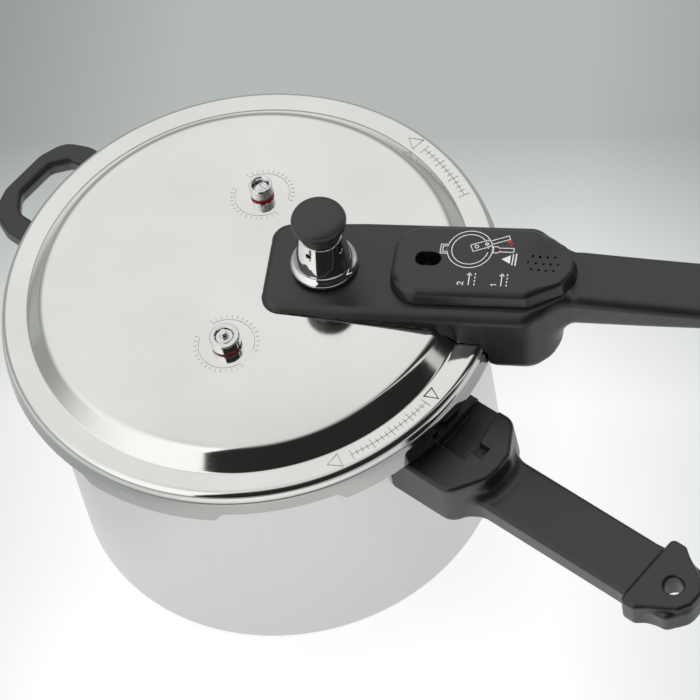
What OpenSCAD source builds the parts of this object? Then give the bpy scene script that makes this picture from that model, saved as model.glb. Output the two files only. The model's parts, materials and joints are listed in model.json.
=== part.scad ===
// Stove-top pressure canner with a bayonet lid, in millimetres.
// Origin: centre of the pot's base. +Z up, +X along the pot's long handle.
// The lid stands in its open position, turned lid_az away from the pot's handle.

/* [Pot] */
// Outer radius of the straight pot wall
pot_r = 115; // [114.5:0.1:115.2]
// Thickness of the pot wall
pot_wall = 3; // [2.5:0.1:3.5]
// Thickness of the pot floor
floor_t = 4.5; // [3:0.5:5]
// Height of the pot's rim above its base
rim_z = 150; // [149.8:0.1:150]
// Number of bayonet lugs, on the pot and on the lid
lugs = 6; // [6]
// Angle that each lug of the pot covers
pot_lug_deg = 24; // [18:1:25]

/* [Lid] */
// Radius of the sphere that the lid's disc is part of
dome_r = 800; // [780:10:820]
// Height of the lid's centre above the base
dome_top = 175; // [175:0.1:175.5]
// Radius where the disc meets the bevel
disc_r = 105; // [104:0.5:105.5]
// Height of the flat flange ring above the base
flange_z = 159; // [159:0.1:159.2]
// Thickness of the lid's sheet
lid_t = 2.8; // [2.5:0.1:2.8]
// Angle that each bayonet tab of the lid covers
lid_tab_deg = 32.5; // [28:0.5:33]

/* [Moving parts] */
// Angle between the open lid and the closed one
lid_az = 32; // [31:0.5:33]
// Travel of the lock slider
lock_travel = 7; // [4:0.5:7]

/* [Handles] */
// Distance from the pot's axis to the ends of both long handles
handle_end = 282; // [270:1:290]
// Thickness of the pot handle's grip
grip_t = 13.4; // [12:0.2:14]
// Radius of the hole for hanging the pot up
hang_r = 5; // [3:0.5:6]

/* [Valves] */
// Distance of the vent pipe from the lid's axis
vent_at = 42; // [41:0.5:43]
// Distance of the safety valve from the lid's axis
safety_at = 47.5; // [46:0.5:49]
// Distance of the steam release valve from the lid's axis
release_at = 47; // [46:0.5:49]
// Distance of the pressure indicator from the lid's axis
indicator_at = 99.4; // [99.2:0.1:99.6]

/* [Hidden] */
$fn = 96;
gap = 0.2;            // room left between pieces of one body
run = 0.05;           // radial clearance of a running fit
charcoal = [0.24, 0.235, 0.24];
polished = [0.86, 0.86, 0.85];
satin = [0.72, 0.72, 0.71];
steel = [0.6, 0.61, 0.62];
silicone_red = [0.75, 0.12, 0.1];

pot_inner = pot_r - pot_wall;
bead_r = pot_r + 4;               // rolled bead under the rim, between the lugs
lug_r = pot_r + 9.5;
lug_z = rim_z - 5.5;
lug_t = 4;
lug_az = 17;                      // middle of the first lug of the pot
rivet_r = 2;
bracket_r = 117.1;                // outer face of the straps riveted to the wall
handle_rivet_az = 4.5;            // the rivets stand this far to each side of a handle's middle
handle_rivet_z = 116;
helper_rivet_az = 6.5;
helper_rivet_z = 128;
helper_az = 180;
corner_r = 6;                     // outer corner between wall and base

bevel_r = 115;                    // radius where the bevel meets the flange ring
shoulder_r = 128.7;               // outer radius under the rounded shoulder
skirt_r = 130.5;                  // outer radius at the skirt's lower edge
skirt_z = 145;
tab_z = 139.3;
lip_r = 120.5;                    // inner radius of the bayonet lips
lip_t = 3;
tab_shift = 15;                   // from the lid handle to the middle of the first tab

plate_top = 178.4;                // top face of the lid handle's plate
slider_top = 187;
head_z = 141;                     // underside of the lid handle's deep head
pot_head_top = 130.6;
pot_head_w = 55;
pot_grip_z = 104;
recess = [126, 143, 125];         // inner wall, outer wall and floor of the lock recess
bolt_foot = 127;

helper_top = 134;
helper_t = 12;
helper_leg = 28;                  // from the middle of the helper handle to each leg's middle
helper_reach = 168.3;             // from the pot's axis to the helper handle's outer face
helper_bar = 9.8;

nozzle_z = 20;                    // top of the vent pipe above the lid
weight_z = 6;                     // underside of the regulator's weight above the lid
weight_top = 30.6;
needle_r = 4;
stem_r = 1.5;
valve_neck = 3.95;                 // threaded necks that pass through the lid
neck_hole = 4.1;
pin_r = 1.8;
safety_az = 87.6;                 // from the lid's handle to the safety valve
release_az = -92;

slider_in = 77.8;                 // the slider's inner end, outer end and half-width
slider_out = 168.7;
slider_w = 21.3;
slot_at = 97.4;
lock_rivet_x = [114, 128];

// Points of an arc about [x, y], from angle a0 to a1 in n steps
function arc(x, y, r, a0, a1, n = 8) =
    [for (i = [0 : n]) [x + r * cos(a0 + (a1 - a0) * i / n), y + r * sin(a0 + (a1 - a0) * i / n)]];

// Height of a point on the lid's disc, r from the axis, above the base
function dome_z(r, sphere_r = dome_r) = dome_top - dome_r + sqrt(sphere_r * sphere_r - r * r);

// Half-width of a handle at distance x: head_w up to x0, then an S-curve to grip_w at x1
function shoulder_w(x, x0, x1, head_w, grip_w) =
    x <= x0 ? head_w : x >= x1 ? grip_w
    : grip_w + (head_w - grip_w) * (1 + cos(180 * (x - x0) / (x1 - x0))) / 2;

// One side of a handle's outline, as [x, y] points along the distances in xs
function side_points(xs, x0, x1, head_w, grip_w, sign) =
    [for (x = xs) [x, sign * shoulder_w(x, x0, x1, head_w, grip_w)]];

module on_lid() rotate([0, 0, lid_az]) children();

// Places a fitting square to the domed lid, r from the axis, with z = 0 on the outer face
module on_dome(r, az) {
    on_lid() translate([0, 0, dome_top - dome_r]) rotate([0, asin(r / dome_r), az])
        translate([0, 0, dome_r]) children();
}

module at_vent() on_dome(vent_at, 0) children();
module at_safety() on_dome(safety_at, safety_az) children();
module at_release() on_dome(release_at, release_az) children();
module at_indicator() on_dome(indicator_at, 0) children();

module tube(r_out, r_in, z0, z1) {
    translate([0, 0, z0]) difference() {
        cylinder(r = r_out, h = z1 - z0);
        translate([0, 0, -1]) cylinder(r = r_in, h = z1 - z0 + 2);
    }
}

module hex_nut(across, r_in, z0, z1) {
    translate([0, 0, z0]) difference() {
        cylinder(d = across / cos(30), h = z1 - z0, $fn = 6);
        translate([0, 0, -1]) cylinder(r = r_in, h = z1 - z0 + 2);
    }
}

module box(x0, x1, y0, y1, z0, z1) translate([x0, y0, z0]) cube([x1 - x0, y1 - y0, z1 - z0]);

// A prism with its outline in X and Z, centred on Y
module side_prism(points, width) {
    translate([0, width / 2, 0]) rotate([90, 0, 0]) linear_extrude(width) polygon(points);
}

// ---- Pot ----

// The hole for a wall rivet, at an azimuth and a height
module rivet_hole(az, z) {
    rotate([0, 0, az]) translate([pot_inner - 3, 0, z]) rotate([0, 90, 0])
        cylinder(r = rivet_r + run, h = pot_wall + 8);
}

module pot_body() {
    inner_corner = 9;
    profile = concat(
        [[0, 0]],
        arc(pot_r - corner_r, corner_r, corner_r, -90, 0),
        [[pot_r, lug_z - 4], [bead_r, lug_z], [bead_r, rim_z - 1], [bead_r - 1, rim_z],
         [pot_inner + 0.8, rim_z], [pot_inner, rim_z - 0.8]],
        arc(pot_inner - inner_corner, floor_t + inner_corner, inner_corner, 0, -90),
        [[0, floor_t]]);
    color(satin) difference() {
        union() {
            rotate_extrude($fn = 144) polygon(profile);
            for (i = [0 : lugs - 1]) rotate([0, 0, lug_az - pot_lug_deg / 2 + i * 360 / lugs])
                rotate_extrude(angle = pot_lug_deg, $fn = 144)
                    translate([bead_r - 1, lug_z]) square([lug_r - bead_r + 1, lug_t]);
        }
        for (s = [-1, 1]) {
            rivet_hole(s * handle_rivet_az, handle_rivet_z);
            rivet_hole(helper_az + s * helper_rivet_az, helper_rivet_z);
        }
    }
}

module pot_handle() {
    grip_w = 16.5;
    head_w = pot_head_w / 2;
    xs = concat([108, 148], [for (i = [1 : 7]) 148 + 18 * i / 8], [166, 240]);
    tip = handle_end - 19;
    outline = concat(
        side_points(xs, 148, 166, head_w, grip_w, -1),
        [[tip - 8, -17.5]], arc(tip, 0, 19, -80, 80, 14), [[tip - 8, 17.5]],
        [for (i = [len(xs) - 1 : -1 : 0]) side_points(xs, 148, 166, head_w, grip_w, 1)[i]]);
    head = concat([[108, -head_w]], arc(148, 14 - head_w, 14, -90, 0, 6),
        arc(148, head_w - 14, 14, 0, 90, 6), [[108, head_w]]);
    color(charcoal) difference() {
        union() {
            translate([0, 0, pot_grip_z]) linear_extrude(grip_t) polygon(outline);
            translate([0, 0, pot_grip_z]) linear_extrude(pot_head_top - pot_grip_z) polygon(head);
        }
        translate([0, 0, pot_grip_z - 1]) cylinder(r = pot_r + gap, h = 40, $fn = 144);
        box(recess[0], recess[1], -6, 40, recess[2], 140);
        box(recess[1] - 1, recess[1] + lock_travel, -1, 6, recess[2], 140);
        box(110, 119.6, -13.5, 13.5, 105.5, 128);
        box(110, 162, -7.2, 7.2, 108.8, 113.2);
        translate([156, 0, pot_grip_z - 1]) cylinder(r = 2.6, h = 8);
        translate([156, 0, pot_grip_z - 1]) cylinder(r = 5.2, h = 3.8);
        translate([handle_end - 14, 0, pot_grip_z - 1]) cylinder(r = hang_r, h = grip_t + 2);
    }
}

module pot_handle_bracket() {
    color(steel) difference() {
        union() {
            intersection() {
                tube(bracket_r, pot_r + 0.1, 106, 127.5);
                box(100, 130, -13, 13, 100, 130);
            }
            box(116.5, 161, -7, 7, 109, 113);
        }
        for (s = [-1, 1]) rivet_hole(s * handle_rivet_az, handle_rivet_z);
        translate([156, 0, 105]) cylinder(r = 2.1, h = 10);
    }
}

// A rivet through the pot's wall, along X, holding something at the outer radius given
module wall_rivet(outer) {
    rotate([0, 90, 0]) {
        translate([0, 0, pot_inner - 0.6]) cylinder(r = rivet_r, h = outer - pot_inner + 1.2);
        translate([0, 0, pot_inner - 1.6]) cylinder(r = 3.8, h = 1.5);
        translate([0, 0, outer + 0.1]) cylinder(r = 3.6, h = 1.5);
    }
}

module pot_handle_rivets() {
    color(steel) for (s = [-1, 1]) rotate([0, 0, s * handle_rivet_az])
        translate([0, 0, handle_rivet_z]) wall_rivet(bracket_r);
}

module pot_handle_screw() {
    color(steel) translate([156, 0, 0]) {
        translate([0, 0, 106.6 - 2.4]) cylinder(r = 4.8, h = 2.4);
        translate([0, 0, 106.5]) cylinder(r = 2.05, h = 6.3);
    }
}

module helper_handle() {
    outer_r = 17.5;
    inner_r = 8;
    outer = concat([[-108, 34.5]], arc(outer_r - helper_reach, 17, outer_r, 100, 180),
        arc(outer_r - helper_reach, -17, outer_r, 180, 260), [[-108, -34.5]]);
    inner_x = inner_r + helper_bar - helper_reach;
    inner = concat([[-90, 21.5], [-108, 21.5]], arc(inner_x, 13.5, inner_r, 105, 180, 6),
        arc(inner_x, -13.5, inner_r, 180, 255, 6), [[-108, -21.5], [-90, -21.5]]);
    color(charcoal) difference() {
        translate([0, 0, helper_top - helper_t]) linear_extrude(helper_t) difference() {
            polygon(outer);
            polygon(inner);
        }
        translate([0, 0, 100]) cylinder(r = pot_r + gap, h = 60, $fn = 144);
        tube(119.4, 100, helper_top - 10.8, helper_top - 1.2);
        for (s = [-1, 1]) {
            box(-132, -110, s * helper_leg - 5.2, s * helper_leg + 5.2, 126.8, 131.2);
            translate([-126, s * helper_leg, 120]) {
                cylinder(r = 2.1, h = 8);
                cylinder(r = 4.2, h = 4);
            }
        }
    }
}

module helper_handle_bracket() {
    color(steel) difference() {
        union() {
            intersection() {
                tube(bracket_r, pot_r + 0.1, 123.6, 132.4);
                box(-130, -100, -32, 32, 120, 135);
            }
            for (s = [-1, 1]) box(-131, -112, s * helper_leg - 5, s * helper_leg + 5, 127, 131);
        }
        translate([0, 0, 110]) cylinder(r = pot_r + 0.1, h = 30, $fn = 144);
        for (s = [-1, 1]) translate([-126, s * helper_leg, 120]) cylinder(r = 1.65, h = 20);
        for (s = [-1, 1]) rivet_hole(helper_az + s * helper_rivet_az, helper_rivet_z);
    }
}

module helper_handle_rivets() {
    color(steel) for (s = [-1, 1]) rotate([0, 0, helper_az + s * helper_rivet_az])
        translate([0, 0, helper_rivet_z]) wall_rivet(bracket_r);
}

// Two screws from below, one in each leg of the handle
module helper_handle_screws() {
    color(steel) {
        for (s = [-1, 1]) translate([-126, s * helper_leg, 0]) {
            translate([0, 0, 122.2]) cylinder(r = 4, h = 1.7);
            translate([0, 0, 123.8]) cylinder(r = 1.6, h = 6.6);
        }
    }
}

module canning_rack() {
    rack_r = 104;
    rack_z = 16.5;
    color(polished) {
        difference() {
            translate([0, 0, rack_z]) cylinder(r = rack_r, h = 2);
            for (ring = [1 : 4]) for (i = [0 : 6 * ring - 1]) rotate([0, 0, i * 60 / ring])
                translate([ring * 22, 0, rack_z - 1]) cylinder(r = 4, h = 4, $fn = 24);
        }
        for (i = [0 : 2]) rotate([0, 0, 30 + i * 120]) translate([77, 0, floor_t + gap])
            cylinder(r = 4, h = rack_z - floor_t - gap + 0.5, $fn = 32);
    }
}

module sealing_ring() {
    color([0.35, 0.35, 0.34]) rotate_extrude($fn = 144)
        polygon([[114, rim_z + gap], [123.6, rim_z + gap], [125.2, rim_z + 1.6], [125.2, rim_z + 4.4],
            [123.8, flange_z - lid_t - gap], [114, flange_z - lid_t - gap],
            [114, rim_z + 4.2], [117, rim_z + 3.2], [114, rim_z + 2.2]]);
}

// ---- Lid ----

// Outline of the lid's outer face, from the axis to the skirt's lower edge, grown by g
function lid_outer(g = 0) = concat(
    [for (i = [0 : 12]) [disc_r * i / 12, dome_z(disc_r * i / 12, dome_r + g)]],
    [[disc_r + 0.9 + g * 0.7, dome_z(disc_r) - 0.6 + g * 0.7],
     [bevel_r - 0.6 + g * 0.4, flange_z + 0.5 + g], [bevel_r + 0.4, flange_z + g]],
    arc(shoulder_r - 4.2, flange_z - 4.2, 4.2 + g, 90, 0, 6),
    [[shoulder_r + g, flange_z - 5.8], [shoulder_r + 0.5 + g, flange_z - 6.2], [skirt_r + g, skirt_z]]);

module lid_shell() {
    inner = concat(
        [[skirt_r - lid_t, skirt_z], [shoulder_r - lid_t + 0.2, flange_z - 6.2]],
        arc(shoulder_r - 4.2, flange_z - 4.2, 1.4, 0, 90, 4),
        [[bevel_r - 1.2, flange_z - lid_t], [disc_r - 1.8, dome_z(disc_r) - 2.2]],
        [for (i = [11 : -1 : 0]) [disc_r * i / 12, dome_z(disc_r * i / 12, dome_r - lid_t)]]);
    tab = [[skirt_r - lid_t, skirt_z + 1], [skirt_r - 0.12, skirt_z + 1], [skirt_r, tab_z + 1],
        [skirt_r - 1, tab_z], [lip_r, tab_z], [lip_r, tab_z + lip_t], [skirt_r - lid_t, tab_z + lip_t]];
    color(polished) difference() {
        union() {
            rotate_extrude($fn = 144) polygon(concat(lid_outer(), inner));
            for (i = [0 : lugs - 1])
                rotate([0, 0, lid_az + tab_shift - lid_tab_deg / 2 + i * 360 / lugs])
                    rotate_extrude(angle = lid_tab_deg, $fn = 144) polygon(tab);
        }
        at_vent() translate([0, 0, -6]) cylinder(r = 5.1, h = 12);
        at_safety() translate([0, 0, -6]) cylinder(r = neck_hole, h = 12);
        at_release() translate([0, 0, -6]) cylinder(r = neck_hole, h = 12);
        at_indicator() translate([0, 0, -6]) cylinder(r = 2.95, h = 12);
    }
}

// The solid that the lid's outer face encloses, grown by g, for cutting the handle to fit
module lid_block(g) {
    rotate_extrude($fn = 144)
        polygon(concat(lid_outer(g), [[skirt_r + g, 130], [0, 130]]));
}

// Side outline of the strip welded to the lid under its handle, grown by g
function bracket_side(g) = concat(
    [for (x = [78 - g : 5 : 103]) [x, dome_z(x) + 2.5 + g]],
    [[106.5, dome_z(105) + 2.3 + g], [117, 161.6 + g], [124 + g, 161.6 + g], [124 + g, 159.4],
     [116, 159.4], [105.6, dome_z(105) + 0.4]],
    [for (x = [103 : -5 : 78 - g]) [x, dome_z(x) + 0.4]]);

module lid_handle() {
    base_w = 30;
    grip_w = 16.5;
    xs = concat([22, 148], [for (i = [1 : 7]) 148 + 20 * i / 8], [168, 240]);
    tip = handle_end - 19;
    outline = concat(
        arc(22, 10 - base_w + 1.5, 10, 180, 255, 6), side_points([60, 110], 148, 168, base_w, 0, -1),
        side_points([for (i = [1 : len(xs) - 1]) xs[i]], 148, 168, base_w + 0.5, grip_w, -1),
        [[tip - 8, -17.5]], arc(tip, 0, 19, -80, 80, 14), [[tip - 8, 17.5]],
        [for (i = [len(xs) - 1 : -1 : 1])
            side_points(xs, 148, 168, base_w + 0.5, grip_w, 1)[i]],
        side_points([110, 60], 148, 168, base_w, 0, 1), arc(22, base_w - 11.5, 10, 105, 180, 6));
    side = concat(
        [[11, 158], [11, plate_top], [170, plate_top], [230, 171], [handle_end, 164.5],
         [handle_end, 156], [210, 155], [178, 155.5]],
        arc(176, 142.5, 13, 90, 180, 6), [[161, head_z], [131, head_z], [131, 158]]);
    color(charcoal) on_lid() difference() {
        intersection() {
            translate([0, 0, 130]) linear_extrude(60) polygon(outline);
            side_prism(side, 80);
        }
        lid_block(0.3);
        side_prism(bracket_side(gap), 17);
        box(115.5, 124.4, -18.4, 18.4, 158, 162);
        translate([vent_at, 0, 160]) cylinder(r = 12, h = 30);
        translate([indicator_at + 0.6, 0, 160]) cylinder(r = 5.5, h = 30);
        box(107, 160, -6.4, 6.4, 172.5, 190);
        box(129, 142.4, -0.6, 5.6, 120, 190);
        box(143, 161, -22.3, 22.3, 130, 144.2);
        for (s = [-1, 1]) {
            translate([119.5, s * 12.5, 160]) cylinder(r = 2.6, h = 30);
            translate([119.5, s * 12.5, 170]) cylinder(r = 5.2, h = 20);
            translate([152, s * 16, 130]) cylinder(r = 1.9, h = 24);
        }
        translate([88, 0, 160]) cylinder(r = 2.6, h = 30);
        translate([88, 0, 175.4]) cylinder(r = 5, h = 20);
    }
}

module lid_handle_base() {
    color(charcoal) on_lid() difference() {
        intersection() {
            box(143.2, 160.8, -22, 22, head_z, 144);
            linear_extrude(200) polygon(concat([[140, -22]], arc(148, -9, 12.8, -90, 0, 5),
                arc(148, 9, 12.8, 0, 90, 5), [[140, 22]]));
        }
        for (s = [-1, 1]) translate([152, s * 16, 130]) cylinder(r = 1.9, h = 20);
    }
}

module lid_handle_bracket() {
    color(steel) on_lid() difference() {
        union() {
            side_prism(bracket_side(0), 16);
            box(116, 124, -18, 18, 159.4, 161.6);
        }
        translate([indicator_at + 0.3, 0, 150]) cylinder(r = 4.6, h = 40);
        translate([88, 0, 150]) cylinder(r = 2.1, h = 40);
        for (s = [-1, 1]) translate([119.5, s * 12.5, 150]) cylinder(r = 2.1, h = 40);
    }
}

module lid_handle_screws() {
    color(steel) on_lid() {
        for (s = [-1, 1]) translate([119.5, s * 12.5, 0]) {
            translate([0, 0, 159.6]) cylinder(r = 2.05, h = 11);
            translate([0, 0, 170.2]) cylinder(r = 4.8, h = 2.6);
        }
        translate([88, 0, 0]) {
            translate([0, 0, dome_z(88) + 0.6]) cylinder(r = 2.05, h = 5.4);
            translate([0, 0, 175.6]) cylinder(r = 4.6, h = 2.2);
        }
    }
}

module base_cover_screws() {
    color(steel) on_lid() for (s = [-1, 1]) translate([152, s * 16, 0]) {
        translate([0, 0, head_z - 1.4]) cylinder(r = 3.4, h = 1.3);
        translate([0, 0, head_z - 0.2]) cylinder(r = 1.8, h = 12);
    }
}

// ---- Vent pipe and pressure regulator ----

module vent_pipe() {
    color(steel) at_vent() difference() {
        union() {
            rotate_extrude() polygon([[0, -10.5], [4.95, -10.5], [4.95, 0.1], [7.5, 0.1],
                [7.5, 3.6], [3.4, 4.6], [3.2, nozzle_z - 2], [2.2, nozzle_z], [0, nozzle_z]]);
        }
        translate([0, 0, -12]) cylinder(r = 1.3, h = 40);
    }
}

module vent_washer() color([0.3, 0.3, 0.3]) at_vent() tube(8.5, 5.05, -4.4, -2.95);

module vent_nut() color(steel) at_vent() hex_nut(15, 5, -8.6, -4.5);

module vent_guard() {
    color(steel) at_vent() difference() {
        translate([0, 0, -13.4]) cylinder(r = 7, h = 4.6);
        translate([0, 0, -12.4]) cylinder(r = 6, h = 3.4);
        translate([0, 0, -12]) cylinder(r = 5, h = 8);
        for (a = [0 : 60 : 300]) rotate([0, 0, a]) translate([0, 0, -10.9]) rotate([0, 90, 0])
            cylinder(r = 1, h = 9, $fn = 24);
    }
}

module regulator_needle() {
    color(steel) at_vent() rotate_extrude() polygon([[0, nozzle_z + gap], [1, nozzle_z + gap],
        [2, nozzle_z + 1], [6.8, nozzle_z + 1], [6.8, nozzle_z + 3], [needle_r, nozzle_z + 3],
        [needle_r, weight_top + 2.4], [needle_r - 1, weight_top + 3.4], [0, weight_top + 3.4]]);
}

module regulator_spring() {
    color(steel) at_vent() tube(6.4, needle_r + 0.5, nozzle_z + 3.2, nozzle_z + 7);
}

module regulator_weight() {
    cavity_r = 9.8;
    cavity_top = 27.4;
    color(polished) at_vent() difference() {
        rotate_extrude() polygon(concat(
            [[0, weight_z], [16.7, weight_z]], arc(16.3, weight_z + 0.8, 0.8, -60, 90, 5),
            [[14.4, weight_z + 1.7], [13.3, weight_z + 2.6], [13.1, weight_z + 4],
             [13.1, 16], [12.7, 22], [12, 27]], arc(10.4, weight_top - 0.9, 0.9, 0, 90, 4),
            [[0, weight_top]]));
        translate([0, 0, weight_z - 1]) cylinder(r = cavity_r, h = cavity_top - weight_z + 1);
        translate([0, 0, weight_z]) cylinder(r = needle_r + run, h = 40);
        for (a = [-26 : 90 : 244]) rotate([0, 0, a]) translate([0, 0, 25.1])
            rotate([0, 90, 0]) cylinder(r = 1.4, h = 30, $fn = 32);
    }
}

module regulator_cap() {
    z = weight_top + 0.1;
    color(charcoal) at_vent() difference() {
        rotate_extrude() polygon(concat(
            [[0, z], [10.3, z], [10.6, z + 1.4], [11.4, z + 4.4], [12, z + 5], [13.2, z + 7.8]],
            arc(11.2, z + 11.2, 2.6, -20, 60, 5),
            [for (i = [1 : 6]) [12.4 * cos(90 * i / 6) , z + 13.5 + 2 * sin(90 * i / 6)]]));
        translate([0, 0, z - 1]) cylinder(r = needle_r + 0.6, h = 5);
    }
}

// ---- Safety valve ----

module safety_valve_body() {
    color(polished) at_safety() difference() {
        rotate_extrude() polygon([[0, -9.5], [valve_neck, -9.5], [valve_neck, 1.4], [5.6, 1.4], [6.05, 1.8],
            [6.05, 7.5], [5.5, 8.1], [0, 8.1]]);
        translate([0, 0, 3.6]) cylinder(r = 4.2, h = 6);
        translate([0, 0, -6.4]) cylinder(r = 2.7, h = 11);
        translate([0, 0, -12]) cylinder(r = 1.3, h = 7);
    }
}

module safety_valve_ring() color(silicone_red) at_safety() tube(6.3, 4.1, 0.1, 1.3);

module safety_valve_nut() color(steel) at_safety() hex_nut(12, 4, -7.2, -3.2);

module safety_valve_plunger() {
    color(steel) at_safety() rotate_extrude() polygon([[0, -6.3], [1.2, -6.3], [2.5, -5.2],
        [2.5, -4.4], [1.3, -4], [1.3, -2.4], [0, -2.4]]);
}

module safety_valve_spring() color(steel) at_safety() tube(2.4, 1.7, -2.8, 3.5);

module safety_valve_screw() {
    color(steel) at_safety() difference() {
        rotate_extrude() polygon([[0, 3.8], [4.1, 3.8], [4.1, 5.4], [3.4, 6.3], [1.8, 6.9], [0, 7.1]]);
        box(-4.5, 4.5, -0.5, 0.5, 5.8, 8);
    }
}

// ---- Manual steam release valve ----

module release_valve_body() {
    color(polished) at_release() difference() {
        rotate_extrude() polygon([[0, -9.5], [valve_neck, -9.5], [valve_neck, 0.1], [5, 0.1], [5, 1], [0, 1]]);
        translate([0, 0, -12]) cylinder(r = stem_r + run, h = 30);
    }
}

module release_valve_ring() color(silicone_red) at_release() tube(7.9, 5.2, 0.15, 1.2);

module release_valve_nut() color(steel) at_release() hex_nut(12, 4, -7.2, -3.2);

module release_valve_stem() {
    color(steel) at_release() {
        translate([0, 0, -15.6]) cylinder(r = stem_r, h = 19.2);
        translate([0, 0, -16.2]) cylinder(r = 3, h = 1);
    }
}

module release_valve_knob() {
    color(polished) at_release() difference() {
        rotate_extrude() polygon(concat([[0, 1.3], [7.3, 1.3], [7.7, 1.7]],
            arc(6.7, 6.5, 1, 0, 80, 5), [[5.2, 7.5], [4.8, 7.1], [4.8, 4.6], [0, 4.6]]));
        translate([0, 0, -1]) cylinder(r = stem_r + 0.1, h = 4.9);
    }
}

module release_valve_button() {
    color(steel) at_release() rotate_extrude()
        polygon([[0, 4.7], [4.5, 4.7], [4.5, 6.2], [3.9, 6.8], [1.9, 7.1], [1.8, 10.6], [1.4, 11], [0, 11]]);
}

module release_valve_spring() color(steel) at_release() tube(2.8, 1.8, -15, -9.7);

// ---- Pressure indicator ----

module indicator_grommet() {
    color(silicone_red) at_indicator() difference() {
        union() {
            translate([0, 0, -4.1]) cylinder(r = 2.9, h = 5.6);
            translate([0, 0, 0.1]) cylinder(r = 3.8, h = 1.4);
            translate([0, 0, -4.1]) cylinder(r = 3.3, h = 1.2);
        }
        translate([0, 0, -6]) cylinder(r = pin_r + run, h = 12);
    }
}

module indicator_pin() {
    color(silicone_red) at_indicator() {
        translate([0, 0, -10]) cylinder(r = pin_r, h = 18.4);
        translate([0, 0, -11]) cylinder(r = 2.8, h = 1.2);
    }
}

// ---- Lock slider in the lid handle ----

module lock_slider() {
    inner_r = 14;
    nose_r = 5.5;
    nose = [[146, slider_w - nose_r], [160, 8.2], [slider_out - nose_r, 2.5]];
    facing = [90, 61.5, 29, 0];
    outline = concat(
        arc(slider_in + inner_r, inner_r - slider_w, inner_r, 180, 270, 8),
        [for (k = [0 : 2]) each arc(nose[k][0], -nose[k][1], nose_r, -facing[k], -facing[k + 1], 3)],
        [for (k = [2 : -1 : 0]) each arc(nose[k][0], nose[k][1], nose_r, facing[k + 1], facing[k], 3)],
        arc(slider_in + inner_r, slider_w - inner_r, inner_r, 90, 180, 8));
    color(charcoal) on_lid() difference() {
        translate([0, 0, plate_top + gap]) linear_extrude(slider_top - plate_top - gap) polygon(outline);
        for (x = [slot_at - 2.2, slot_at + 2.2]) translate([x, 0, 170]) cylinder(r = 4.2, h = 30);
        box(slot_at - 2.2, slot_at + 2.2, -4.2, 4.2, 170, 200);
        for (x = lock_rivet_x) translate([x, 0, 170]) cylinder(r = 1.5, h = 13);
        translate([156, 0, slider_top + 43.2]) sphere(r = 45, $fn = 96);
    }
}

module lock_bolt() {
    color(steel) on_lid() difference() {
        union() {
            box(109, 134, -5, 5, 175.4, 178);
            box(131, 134, 0.2, 4.8, bolt_foot, 178);
            box(133, 141, 0.2, 4.8, bolt_foot, bolt_foot + 3);
        }
        for (x = lock_rivet_x) translate([x, 0, 170]) cylinder(r = 1.5, h = 13);
    }
}

module lock_rivets() {
    color(steel) on_lid() for (x = lock_rivet_x) translate([x, 0, 174.2]) {
        cylinder(r = 1.45, h = 8.6);
        cylinder(r = 2.6, h = 1.1);
    }
}

module lock_spring() {
    color(steel) on_lid() translate([141.6, 2.5, 175.4]) rotate([0, 90, 0])
        tube(2.4, 1.6, 0, 18);
}

pot_body();
pot_handle();
pot_handle_bracket();
pot_handle_rivets();
pot_handle_screw();
helper_handle();
helper_handle_bracket();
helper_handle_rivets();
helper_handle_screws();
canning_rack();
sealing_ring();
lid_shell();
lid_handle();
lid_handle_base();
lid_handle_bracket();
lid_handle_screws();
base_cover_screws();
vent_pipe();
vent_washer();
vent_nut();
vent_guard();
safety_valve_body();
safety_valve_ring();
safety_valve_nut();
safety_valve_plunger();
safety_valve_spring();
safety_valve_screw();
release_valve_body();
release_valve_ring();
release_valve_nut();
release_valve_stem();
release_valve_knob();
release_valve_button();
release_valve_spring();
indicator_grommet();
indicator_pin();
lock_slider();
lock_bolt();
lock_rivets();
lock_spring();
regulator_needle();
regulator_spring();
regulator_weight();
regulator_cap();
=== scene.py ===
import json
import math

import bpy
import numpy as np
from mathutils import Matrix, Vector


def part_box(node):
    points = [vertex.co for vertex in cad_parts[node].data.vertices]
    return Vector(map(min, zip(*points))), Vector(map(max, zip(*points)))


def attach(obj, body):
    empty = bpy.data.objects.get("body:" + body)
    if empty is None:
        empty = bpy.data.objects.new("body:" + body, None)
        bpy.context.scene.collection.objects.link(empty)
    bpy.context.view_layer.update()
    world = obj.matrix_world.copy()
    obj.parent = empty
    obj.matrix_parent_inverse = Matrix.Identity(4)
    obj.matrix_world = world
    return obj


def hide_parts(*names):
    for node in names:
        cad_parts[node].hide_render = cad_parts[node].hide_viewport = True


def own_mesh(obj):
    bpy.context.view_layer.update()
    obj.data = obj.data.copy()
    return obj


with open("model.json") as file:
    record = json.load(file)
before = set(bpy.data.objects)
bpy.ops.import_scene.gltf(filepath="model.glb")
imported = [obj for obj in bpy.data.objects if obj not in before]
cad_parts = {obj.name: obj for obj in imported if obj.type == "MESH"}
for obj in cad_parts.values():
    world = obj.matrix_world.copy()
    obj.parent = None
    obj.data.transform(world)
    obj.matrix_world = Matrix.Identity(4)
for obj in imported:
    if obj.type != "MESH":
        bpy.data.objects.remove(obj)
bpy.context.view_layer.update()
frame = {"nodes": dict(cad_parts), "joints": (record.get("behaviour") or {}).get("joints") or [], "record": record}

# ---- The frame's own sizes, in millimetres ----

MM = 0.001
JOINTS = {j["name"]: j for j in frame["joints"]}


def top(node):
    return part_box(node)[1] / MM


def bottom(node):
    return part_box(node)[0] / MM


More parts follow.
